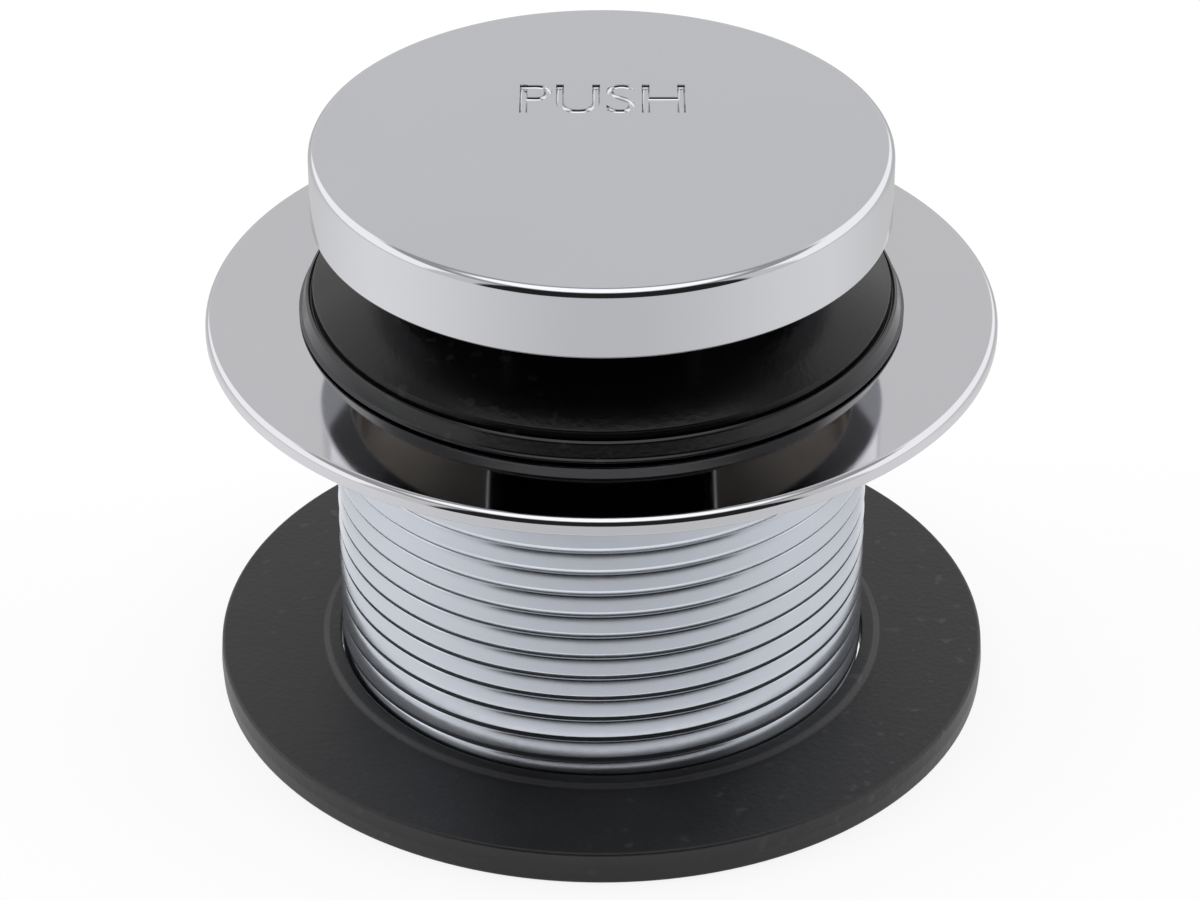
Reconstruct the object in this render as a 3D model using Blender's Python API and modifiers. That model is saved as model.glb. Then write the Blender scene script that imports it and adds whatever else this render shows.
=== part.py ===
import math

import bmesh
import bpy
from mathutils import Matrix

# Tip-toe bath drain, in metres, +Z up. The floor is z = 0 and the drain's axis is Z.
# It is drawn closed: the seal's lip lies on the flange, and it opens by rising.

# Clearance between pieces that touch
fit = 0.0003

# Facets round each turned piece
coarse = 24
medium = 40
fine = 48

# Drain casting: flange, bowl and threaded barrel
barrel_radius = 0.0238
barrel_wall = 0.0032
foot_chamfer = 0.0005
neck_drop = 0.00585
neck_flare = 0.0052
flange_reach = 0.011125
flange_edge = 0.0013
flange_rise = 0.00045
flange_round = 0.0009
bowl_step = 0.0033
mouth_round = 0.0015
bowl_round = 0.0015
arm_count = 4
arm_angle = math.radians(45)
arm_width = 0.0034
arm_height = 0.0042
arm_base = 0.0028
arm_round = 0.0006
hub_wall = 0.0030375
hub_base = 0.0024
hub_height = 0.0058

# Washer that seals under the tub, as wide as the flange
gasket_overhang = 0.000025
gasket_thickness = 0.0032
gasket_lip_width = 0.0009
gasket_lip_rise = 0.0004
gasket_round = 0.0005

# Threaded stud and its lock nut
stud_radius = 0.0047625
stud_end = 0.0015
lock_washer_thickness = 0.0008
lock_nut_height = 0.0032
nut_wall = 0.0023875
nut_corner_share = 0.6

# Travel of the stopper, and the turn of the latch rotor over that travel
travel = 0.0095
rotor_turn = math.radians(45)

# Plunger and the latch pieces that it carries
plunger_radius = 0.0047625
plunger_wall = 0.0012625
plunger_toe = 0.0003
plunger_end_wall = 0.0067
groove_depth = 0.0005
clip_width = 0.0014375
clip_thickness = 0.0006
clip_opening = 0.0052
thrust_washer_width = 0.0010375
thrust_washer_thickness = 0.0005
rotor_height = 0.0034
tooth_count = 8
tooth_depth = 0.0009
tooth_share = 0.98
lug_count = 4
lug_width = 0.0024
lug_height = 0.002
lug_lift = 0.0003
lug_clearance = 0.0006
crown_step = 0.0014375
crown_clearance = 0.0004
crown_height = 0.0027

# Cam sleeve with one sloping slot for each lug
sleeve_wall = 0.0014
slot_clearance = 0.0004
slot_slices = 8

# Cartridge housing
housing_wall = 0.001225
housing_floor = 0.0024
housing_flat_cut = 0.001525
housing_flats_height = 0.0019
guide_pin_clearance = 0.0018
guide_pin_height = 0.0055
bumper_width = 0.0019
bumper_thickness = 0.0008

# Bushing that guides the plunger, with its two rings
bushing_plug_height = 0.0025
bushing_flange_setback = 0.000225
bushing_flange_height = 0.0012
bushing_land = 0.0005
ring_section = 0.00045
wiper_section = 0.00055
ring_sides = 6

# Return spring and the disc between it and the plunger's closed end
spring_wire = 0.00045
spring_turns = 9
spring_points = 8
spring_seat_hole = 0.001
spring_seat_thickness = 0.0005

# Clamp under the seal
clamp_clearance = 0.0008
clamp_nut_height = 0.0028
seal_washer_width = 0.0074375
seal_washer_thickness = 0.0011

# Rubber seal: a disc under the cap, from which a thin skirt slopes down to the lip
seal_hub_margin = 0.001
seal_disc_thickness = 0.0026
seal_skirt_drop = 0.0017
seal_ridge_setback = 0.00085
seal_ridge_rise = 0.0005
seal_lip_reach = 0.00125
seal_lip_taper = 0.0004
seal_lip_height = 0.0016
seal_lip_bearing = 0.0007
seal_shoulder_taper = 0.0004
seal_height = 0.0089

# Chrome cap
cap_overlap = 0.0015
cap_height = 0.0067
cap_dome = 0.00025
cap_dome_start = 0.0127
cap_dome_share = 0.3
cap_round = 0.0009
cap_rim_width = 0.0028
cap_top_wall = 0.0028
cap_boss_width = 0.0048375
cap_boss_wall = 0.0032
cap_rib_count = 6
cap_rib_width = 0.0016
cap_rib_setback = 0.0006


# Radii that follow from the sizes above
barrel_bore = barrel_radius - barrel_wall
bowl_radius = barrel_bore + bowl_step
neck_flare_radius = barrel_radius + neck_flare
flange_radius = barrel_radius + flange_reach
gasket_radius = flange_radius + gasket_overhang
hub_radius = stud_radius + hub_wall
lock_nut_flats = 2 * (stud_radius + nut_wall)
bore_radius = plunger_radius + fit
plunger_bore = plunger_radius - plunger_wall
clamp_nut_flats = 2 * (plunger_radius + nut_wall)
crown_radius = plunger_radius + crown_step
sleeve_inner = crown_radius + crown_clearance
sleeve_outer = sleeve_inner + sleeve_wall
housing_bore = sleeve_outer + fit
housing_radius = housing_bore + housing_wall
lug_reach = housing_bore - lug_clearance
guide_pin_radius = plunger_bore - guide_pin_clearance
spring_mean_radius = (guide_pin_radius + plunger_bore) / 2
bushing_flange_radius = housing_radius - bushing_flange_setback
ring_groove_radius = housing_bore - 2 * fit - 2 * ring_section
seal_washer_radius = bore_radius + seal_washer_width
cap_radius = bowl_radius + cap_overlap
cap_rim_inner = cap_radius - cap_rim_width
cap_boss_radius = plunger_radius + cap_boss_width
seal_hub_radius = seal_washer_radius + seal_hub_margin
seal_lip_radius = cap_radius + seal_lip_reach
seal_lip_top_radius = seal_lip_radius - seal_lip_taper
seal_ridge_radius = seal_lip_top_radius - seal_ridge_setback
seal_lip_inner = bowl_radius + seal_lip_bearing
seal_shoulder_radius = seal_lip_inner - seal_shoulder_taper

# Heights, stacked from the cross arms' hub up to the cap
hub_top = hub_base + hub_height
lock_washer_base = hub_top + fit
lock_nut_base = lock_washer_base + lock_washer_thickness + fit
housing_base = lock_nut_base + lock_nut_height + fit
floor_top = housing_base + housing_floor
bumper_base = floor_top + fit
plunger_base = bumper_base + bumper_thickness + fit
groove_base = plunger_base + plunger_toe
clip_base = groove_base + fit
thrust_washer_base = clip_base + clip_thickness + fit
rotor_base = thrust_washer_base + thrust_washer_thickness + fit
crown_base = rotor_base + rotor_height + fit
crown_top = crown_base + crown_height
bushing_base = crown_top + travel + fit
sleeve_base = floor_top + fit
sleeve_height = bushing_base - fit - sleeve_base
housing_top = bushing_base + bushing_plug_height - fit
bushing_top = bushing_base + bushing_plug_height + bushing_flange_height
clamp_nut_base = bushing_top + clamp_clearance
seal_washer_base = clamp_nut_base + clamp_nut_height + fit
seal_disc_base = seal_washer_base + seal_washer_thickness + fit
seal_base = seal_disc_base - (seal_height - seal_disc_thickness)
cap_base = seal_base + seal_height + fit
spring_seat_base = cap_base + cap_boss_wall - plunger_end_wall - fit - spring_seat_thickness

# The flange lies just under the seal's lip
seat_top = seal_base - fit
rim_top = seat_top - flange_rise
flange_underside = rim_top - flange_edge
neck_height = flange_underside - neck_drop


def clear_scene():
    for item in list(bpy.data.objects):
        bpy.data.objects.remove(item)


def make_collection(name):
    collection = bpy.data.collections.new(name)
    bpy.context.scene.collection.children.link(collection)
    return collection


def make_material(name, colour, roughness, metallic):
    material = bpy.data.materials.new(name)
    material.use_nodes = True
    shader = material.node_tree.nodes["Principled BSDF"]
    shader.inputs["Base Color"].default_value = (*colour, 1.0)
    shader.inputs["Roughness"].default_value = roughness
    shader.inputs["Metallic"].default_value = metallic
    return material


def add_object(name, mesh, collection, material=None, base=0.0):
    item = bpy.data.objects.new(name, mesh)
    collection.objects.link(item)
    item.location.z = base
    if material:
        mesh.materials.append(material)
    return item


def as_cutter(item):
    item.hide_render = True
    item.display_type = 'WIRE'
    return item


def rounded(corners, closed, steps=2):
    """Points of an outline whose corners (r, z, radius) are turned into arcs."""
    points = []
    count = len(corners)
    for index, (x, z, radius) in enumerate(corners):
        inner = closed or 0 < index < count - 1
        if radius <= 0 or not inner:
            points.append((x, z))
            continue
        before = corners[index - 1]
        after = corners[(index + 1) % count]
        to_before = (before[0] - x, before[1] - z)
        to_after = (after[0] - x, after[1] - z)
        length_before = math.hypot(*to_before)
        length_after = math.hypot(*to_after)
        u = (to_before[0] / length_before, to_before[1] / length_before)
        v = (to_after[0] / length_after, to_after[1] / length_after)
        half = math.acos(max(-1.0, min(1.0, u[0] * v[0] + u[1] * v[1]))) / 2
        setback = min(radius / math.tan(half), 0.45 * length_before, 0.45 * length_after)
        radius = setback * math.tan(half)
        bisector = (u[0] + v[0], u[1] + v[1])
        size = math.hypot(*bisector)
        reach = radius / math.sin(half)
        centre = (x + bisector[0] / size * reach, z + bisector[1] / size * reach)
        start = math.atan2(z + u[1] * setback - centre[1], x + u[0] * setback - centre[0])
        end = math.atan2(z + v[1] * setback - centre[1], x + v[0] * setback - centre[0])
        sweep = (end - start + math.pi) % (2 * math.pi) - math.pi
        for step in range(steps + 1):
            angle = start + sweep * step / steps
            points.append((centre[0] + radius * math.cos(angle), centre[1] + radius * math.sin(angle)))
    return points


def turned(name, corners, material, collection, base=0.0, segments=coarse, closed=True, steps=2):
    """A profile in the XZ plane, turned about Z by a Screw modifier."""
    points = rounded(corners, closed, steps)
    edges = [(i, i + 1) for i in range(len(points) - 1)]
    if closed:
        edges.append((len(points) - 1, 0))
    mesh = bpy.data.meshes.new(name)
    mesh.from_pydata([(x, 0.0, z) for x, z in points], edges, [])
    item = add_object(name, mesh, collection, material, base)
    screw = item.modifiers.new("turn", 'SCREW')
    screw.axis = 'Z'
    screw.angle = 2 * math.pi
    screw.steps = segments
    screw.render_steps = segments
    screw.use_merge_vertices = True
    screw.merge_threshold = 0.00001
    screw.use_smooth_shade = True
    return item


def combine(item, other, operation):
    modifier = item.modifiers.new(other.name, 'BOOLEAN')
    modifier.operation = operation
    modifier.solver = 'EXACT'
    modifier.object = other
    as_cutter(other)


def block_mesh(name, blocks):
    """Boxes given as (size, centre, turn about Z), all in one mesh."""
    bm = bmesh.new()
    for size, centre, turn in blocks:
        matrix = Matrix.Rotation(turn, 4, 'Z') @ Matrix.Translation(centre) @ Matrix.Diagonal((*size, 1.0))
        bmesh.ops.create_cube(bm, size=1.0, matrix=matrix)
    mesh = bpy.data.meshes.new(name)
    bm.to_mesh(mesh)
    bm.free()
    return mesh


def cylinder_cutter(name, radius, low, high, collection, segments=coarse):
    bm = bmesh.new()
    matrix = Matrix.Translation((0, 0, (low + high) / 2))
    bmesh.ops.create_cone(bm, cap_ends=True, segments=segments, radius1=radius, radius2=radius,
                          depth=high - low, matrix=matrix)
    mesh = bpy.data.meshes.new(name)
    bm.to_mesh(mesh)
    bm.free()
    return as_cutter(add_object(name, mesh, collection))


def make_drain_body(parts, cutters, chrome):
    """Flange, bowl, barrel, cross arms and tapped hub, cast in one."""
    bowl_floor = neck_height + bowl_radius - barrel_bore
    corners = [
        (bowl_radius, seat_top, mouth_round),
        (flange_radius, rim_top, flange_round),
        (flange_radius, flange_underside, fit),
        (neck_flare_radius, flange_underside, bowl_round),
        (barrel_radius, neck_height, bowl_round),
        (barrel_radius, 0.0, foot_chamfer),
        (barrel_bore, 0.0, fit),
        (barrel_bore, neck_height, bowl_round),
        (bowl_radius, bowl_floor, bowl_round),
    ]
    body = turned("drain_body", corners, chrome, parts, segments=fine)

    # Each arm runs from inside the hub to inside the barrel's wall
    arm_start = stud_radius + 2 * fit
    arm_end = (barrel_bore + barrel_radius) / 2
    arm_size = (arm_end - arm_start, arm_width, arm_height)
    arm_centre = ((arm_start + arm_end) / 2, 0.0, arm_base + arm_height / 2)
    arms = []
    for index in range(arm_count):
        arms.append((arm_size, arm_centre, arm_angle + index * 2 * math.pi / arm_count))
    cross = add_object("cross_arms", block_mesh("cross_arms", arms), cutters)
    soften = cross.modifiers.new("soften", 'BEVEL')
    soften.width = arm_round
    soften.segments = 2
    soften.limit_method = 'ANGLE'
    hub_corners = [
        (0.0, hub_top, 0.0),
        (hub_radius, hub_top, arm_round),
        (hub_radius, hub_base, arm_round),
        (0.0, hub_base, 0.0),
    ]
    hub = turned("hub", hub_corners, None, cutters, segments=coarse, closed=False, steps=2)
    tapping = cylinder_cutter("hub_tapping", stud_radius + fit, hub_base - arm_height, hub_top + arm_height, cutters)
    combine(cross, hub, 'UNION')
    combine(body, cross, 'UNION')
    combine(body, tapping, 'DIFFERENCE')
    return body


def make_tub_gasket(parts, rubber):
    hole = barrel_radius + fit
    lip = hole + gasket_lip_width
    lip_top = gasket_thickness + gasket_lip_rise
    bulge = gasket_round
    corners = [
        (hole, lip_top, 0.0),
        (lip, lip_top, 0.0),
        (lip + gasket_lip_rise, gasket_thickness, 0.0),
        (gasket_radius - bulge / 2, gasket_thickness, gasket_round),
        (gasket_radius, gasket_thickness / 2, 0.0),
        (gasket_radius - bulge / 2, 0.0, gasket_round),
        (hole, 0.0, 0.0),
    ]
    return turned("tub_gasket", corners, rubber, parts, segments=fine, steps=2)


def make_nut(name, flats, hole, height, base, material, parts, cutters):
    """Hexagon nut with its corners turned off top and bottom."""
    bm = bmesh.new()
    matrix = Matrix.Translation((0, 0, height / 2))
    corner_radius = flats / 2 / math.cos(math.pi / 6)
    bmesh.ops.create_cone(bm, cap_ends=True, segments=6, radius1=corner_radius, radius2=corner_radius,
                          depth=height, matrix=matrix)
    mesh = bpy.data.meshes.new(name)
    bm.to_mesh(mesh)
    bm.free()
    nut = add_object(name, mesh, parts, material, base)
    slope = (corner_radius - flats / 2) * nut_corner_share
    envelope_corners = [
        (0.0, height, 0.0),
        (flats / 2, height, 0.0),
        (corner_radius, height - slope, 0.0),
        (corner_radius, slope, 0.0),
        (flats / 2, 0.0, 0.0),
        (0.0, 0.0, 0.0),
    ]
    envelope = turned(name + "_envelope", envelope_corners, None, cutters, base, closed=False)
    combine(nut, envelope, 'INTERSECT')
    bore = cylinder_cutter(name + "_bore", hole, base - height, base + 2 * height, cutters)
    combine(nut, bore, 'DIFFERENCE')
    return nut


def make_ring(name, inner, outer, height, base, material, parts, segments=coarse, edge=0.0):
    corners = [
        (inner, height, 0.0),
        (outer, height, edge),
        (outer, 0.0, edge),
        (inner, 0.0, 0.0),
    ]
    return turned(name, corners, material, parts, base, segments, steps=1)


def make_o_ring(name, radius, section, base, material, parts):
    """Round-section ring whose lowest point is at base."""
    corners = []
    for side in range(ring_sides):
        angle = math.pi / 2 - 2 * math.pi * side / ring_sides
        corners.append((radius + section * math.cos(angle), section + section * math.sin(angle), 0.0))
    return turned(name, corners, material, parts, base, coarse)


def make_housing(parts, cutters, brass):
    height = housing_top - housing_base
    drop = stud_end - housing_base
    pin_top = housing_floor + guide_pin_height
    corners = [
        (0.0, pin_top, 0.0),
        (guide_pin_radius, pin_top, fit),
        (guide_pin_radius, housing_floor, 0.0),
        (housing_bore, housing_floor, 0.0),
        (housing_bore, height, 0.0),
        (housing_radius, height, fit),
        (housing_radius, 0.0, fit),
        (stud_radius, 0.0, 0.0),
        (stud_radius, drop, fit),
        (0.0, drop, 0.0),
    ]
    housing = turned("cartridge_housing", corners, brass, parts, housing_base, closed=False, steps=1)

    # Two flats for a spanner, cut in the solid foot of the housing
    depth = housing_radius
    flat_distance = housing_radius - housing_flat_cut
    cuts = []
    for side in (-1, 1):
        centre = (side * (flat_distance + depth / 2), 0.0, housing_flats_height / 2 - fit)
        cuts.append(((depth, 3 * housing_radius, housing_flats_height + 2 * fit), centre, 0.0))
    flats = add_object("housing_flats", block_mesh("housing_flats", cuts), cutters, base=housing_base)
    combine(housing, flats, 'DIFFERENCE')
    return housing


def slot_cutter(name, cutters):
    """Sloping slots: the path of a lug, drawn flat, then wrapped round the axis."""
    path_radius = (sleeve_inner + housing_bore) / 2
    half_width = lug_width / 2 + slot_clearance
    low = rotor_base - sleeve_base + lug_lift - slot_clearance
    high = low + lug_height + 2 * slot_clearance
    shift = rotor_turn * path_radius
    outline = [
        (-half_width, low),
        (half_width, low),
        (shift + half_width, low + travel),
        (shift + half_width, high + travel),
        (shift - half_width, high + travel),
        (-half_width, high),
    ]
    thick = housing_bore - sleeve_inner + 4 * fit
    near_radius = sleeve_inner - 2 * fit
    mesh = bpy.data.meshes.new(name)
    slots = bmesh.new()
    for index in range(lug_count):
        slot = bmesh.new()
        face = slot.faces.new([slot.verts.new((x, 0.0, z)) for x, z in outline])
        grown = bmesh.ops.extrude_face_region(slot, geom=[face])["geom"]
        far = [item for item in grown if isinstance(item, bmesh.types.BMVert)]
        bmesh.ops.translate(slot, verts=far, vec=(0.0, thick, 0.0))
        for step in range(1, slot_slices):
            x = -half_width + (shift + 2 * half_width) * step / slot_slices
            bmesh.ops.bisect_plane(slot, geom=[*slot.verts, *slot.edges, *slot.faces], dist=fit / 10,
                                   plane_co=(x, 0.0, 0.0), plane_no=(1.0, 0.0, 0.0))
        for vert in slot.verts:
            radius = near_radius + vert.co.y
            angle = index * 2 * math.pi / lug_count + vert.co.x / path_radius
            vert.co = (radius * math.cos(angle), radius * math.sin(angle), vert.co.z)
        slot.normal_update()
        bmesh.ops.recalc_face_normals(slot, faces=slot.faces)
        slot.to_mesh(mesh)
        slot.free()
        slots.from_mesh(mesh)
    slots.to_mesh(mesh)
    slots.free()
    return as_cutter(add_object(name, mesh, cutters, base=sleeve_base))


def make_cam_sleeve(parts, cutters, plastic):
    sleeve = make_ring("cam_sleeve", sleeve_inner, sleeve_outer, sleeve_height, sleeve_base, plastic, parts)
    combine(sleeve, slot_cutter("sleeve_slots", cutters), 'DIFFERENCE')
    return sleeve


def tooth_cutter(name, centre_z, cutters):
    """Diamond bars, one in each gap between the teeth."""
    bm = bmesh.new()
    start = plunger_radius - fit
    length = crown_radius + 4 * fit - start
    half_width = tooth_share * math.pi * start / tooth_count
    lean = Matrix.Rotation(math.pi / 2, 4, 'Y')
    for index in range(tooth_count):
        turn = Matrix.Rotation((index + 0.5) * 2 * math.pi / tooth_count, 4, 'Z')
        place = Matrix.Translation((start + length / 2, 0.0, centre_z))
        stretch = Matrix.Diagonal((1.0, half_width, tooth_depth, 1.0))
        matrix = turn @ place @ stretch @ lean
        bmesh.ops.create_cone(bm, cap_ends=True, segments=4, radius1=1.0, radius2=1.0,
                              depth=length, matrix=matrix)
    mesh = bpy.data.meshes.new(name)
    bm.to_mesh(mesh)
    bm.free()
    return as_cutter(add_object(name, mesh, cutters))


def make_latch_rotor(parts, cutters, plastic):
    """Ring with lugs that run in the sleeve's slots, and teeth on top."""
    outer = sleeve_inner - fit
    rotor = make_ring("latch_rotor", bore_radius, outer, rotor_height, rotor_base, plastic, parts, coarse)
    start = (bore_radius + outer) / 2
    size = (lug_reach - start, lug_width, lug_height)
    centre = ((lug_reach + start) / 2, 0.0, lug_lift + lug_height / 2)
    blocks = [(size, centre, index * 2 * math.pi / lug_count) for index in range(lug_count)]
    lugs = add_object("rotor_lugs", block_mesh("rotor_lugs", blocks), cutters, base=rotor_base)
    combine(rotor, lugs, 'UNION')
    combine(rotor, tooth_cutter("rotor_teeth", rotor_base + rotor_height, cutters), 'DIFFERENCE')
    return rotor


def make_plunger(parts, cutters, brass):
    """Hollow rod: its crown meets the rotor, and its top screws into the cap."""
    top = cap_base + cap_boss_wall - plunger_base
    bore_top = top - plunger_end_wall
    groove_low = groove_base - plunger_base
    groove_high = groove_low + clip_thickness + 2 * fit
    groove_radius = plunger_radius - groove_depth
    crown_low = crown_base - plunger_base
    crown_high = crown_top - plunger_base
    corners = [
        (0.0, top, 0.0),
        (plunger_radius, top, fit),
        (plunger_radius, crown_high, 0.0),
        (crown_radius, crown_high, 0.0),
        (crown_radius, crown_low, 0.0),
        (plunger_radius, crown_low, 0.0),
        (plunger_radius, groove_high, 0.0),
        (groove_radius, groove_high, 0.0),
        (groove_radius, groove_low, 0.0),
        (plunger_radius, groove_low, 0.0),
        (plunger_radius, 0.0, 0.0),
        (plunger_bore, 0.0, 0.0),
        (plunger_bore, bore_top, 0.0),
        (0.0, bore_top, 0.0),
    ]
    plunger = turned("plunger", corners, brass, parts, plunger_base, closed=False, steps=1)
    combine(plunger, tooth_cutter("crown_teeth", crown_base, cutters), 'DIFFERENCE')
    return plunger


def make_retaining_clip(parts, cutters, steel):
    inner = plunger_radius - groove_depth + fit
    outer = inner + clip_width
    clip = make_ring("retaining_clip", inner, outer, clip_thickness, clip_base, steel, parts)
    size = (2 * outer, clip_opening, 3 * clip_thickness)
    centre = (outer, 0.0, clip_base + clip_thickness / 2)
    gap = add_object("clip_opening", block_mesh("clip_opening", [(size, centre, 0.0)]), cutters)
    combine(clip, gap, 'DIFFERENCE')
    return clip


def make_guide_bushing(parts, plastic):
    """Plug in the housing's mouth: a ring groove outside, a wiper pocket on top."""
    top = bushing_plug_height + bushing_flange_height
    plug_radius = housing_bore - fit
    groove_high = bushing_land + 2 * ring_section + 2 * fit
    pocket_radius = bore_radius + 2 * wiper_section + fit
    pocket_floor = groove_high + fit
    corners = [
        (pocket_radius, top, 0.0),
        (bushing_flange_radius, top, fit),
        (bushing_flange_radius, bushing_plug_height, 0.0),
        (plug_radius, bushing_plug_height, 0.0),
        (plug_radius, groove_high, 0.0),
        (ring_groove_radius, groove_high, 0.0),
        (ring_groove_radius, bushing_land, 0.0),
        (plug_radius, bushing_land, 0.0),
        (plug_radius, 0.0, 0.0),
        (bore_radius, 0.0, 0.0),
        (bore_radius, pocket_floor, 0.0),
        (pocket_radius, pocket_floor, 0.0),
    ]
    return turned("guide_bushing", corners, plastic, parts, bushing_base, steps=1)


def make_return_spring(parts, steel):
    """Coil between the housing's floor and the seat in the plunger."""
    low = floor_top + fit + spring_wire
    high = spring_seat_base - fit - spring_wire
    count = spring_turns * spring_points + 1
    curve = bpy.data.curves.new("return_spring", 'CURVE')
    curve.dimensions = '3D'
    curve.bevel_depth = spring_wire
    curve.bevel_resolution = 2
    curve.use_fill_caps = True
    spline = curve.splines.new('POLY')
    spline.points.add(count - 1)
    for index, point in enumerate(spline.points):
        angle = 2 * math.pi * index / spring_points
        height = (high - low) * index / (count - 1)
        point.co = (spring_mean_radius * math.cos(angle), spring_mean_radius * math.sin(angle), height, 1.0)
    spring = bpy.data.objects.new("return_spring", curve)
    parts.objects.link(spring)
    spring.location.z = low
    curve.materials.append(steel)
    return spring


def make_stopper_seal(parts, rubber):
    """Rubber umbrella: a disc clamped under the cap, a thin sloping skirt and a sealing lip."""
    ridge = seal_lip_height + seal_ridge_rise
    slope = (seal_height - ridge) / (seal_ridge_radius - seal_hub_radius)
    disc_under = seal_height - seal_disc_thickness
    # The skirt's underside runs parallel to its top
    under_edge = seal_hub_radius + (seal_disc_thickness - seal_skirt_drop) / slope
    shoulder = seal_height - (seal_shoulder_radius - seal_hub_radius) * slope - seal_skirt_drop
    corners = [
        (bore_radius, seal_height, 0.0),
        (seal_hub_radius, seal_height, 4 * fit),
        (seal_ridge_radius, ridge, fit),
        (seal_lip_top_radius, seal_lip_height, fit),
        (seal_lip_radius, 0.0, 2 * fit),
        (seal_lip_inner, 0.0, fit),
        (seal_shoulder_radius, shoulder, 0.0),
        (under_edge, disc_under, 4 * fit),
        (bore_radius, disc_under, 0.0),
    ]
    return turned("stopper_seal", corners, rubber, parts, seal_base, segments=medium, steps=2)


def make_stopper_cap(parts, cutters, chrome):
    """Hollow cap with a tapped boss and ribs, open underneath."""
    cavity_top = cap_height - cap_top_wall
    boss_hole_top = cap_boss_wall + fit
    corners = [
        (0.0, cap_height, 0.0),
        (cap_dome_start, cap_height - cap_dome * cap_dome_share, 0.0),
        (cap_radius, cap_height - cap_dome, cap_round),
        (cap_radius, 0.0, fit),
        (cap_rim_inner, 0.0, 0.0),
        (cap_rim_inner, cavity_top, cap_round),
        (cap_boss_radius, cavity_top, cap_round),
        (cap_boss_radius, 0.0, 0.0),
        (bore_radius, 0.0, 0.0),
        (bore_radius, boss_hole_top, 0.0),
        (0.0, boss_hole_top, 0.0),
    ]
    cap = turned("stopper_cap", corners, chrome, parts, cap_base, segments=fine, closed=False)
    start = cap_boss_radius - cap_rib_width / 2
    end = cap_rim_inner + cap_rib_width / 2
    size = (end - start, cap_rib_width, cavity_top - cap_rib_setback + cap_rib_width / 2)
    centre = ((start + end) / 2, 0.0, cap_rib_setback + size[2] / 2)
    blocks = [(size, centre, index * 2 * math.pi / cap_rib_count) for index in range(cap_rib_count)]
    ribs = add_object("cap_ribs", block_mesh("cap_ribs", blocks), cutters, base=cap_base)
    combine(cap, ribs, 'UNION')
    return cap


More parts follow.
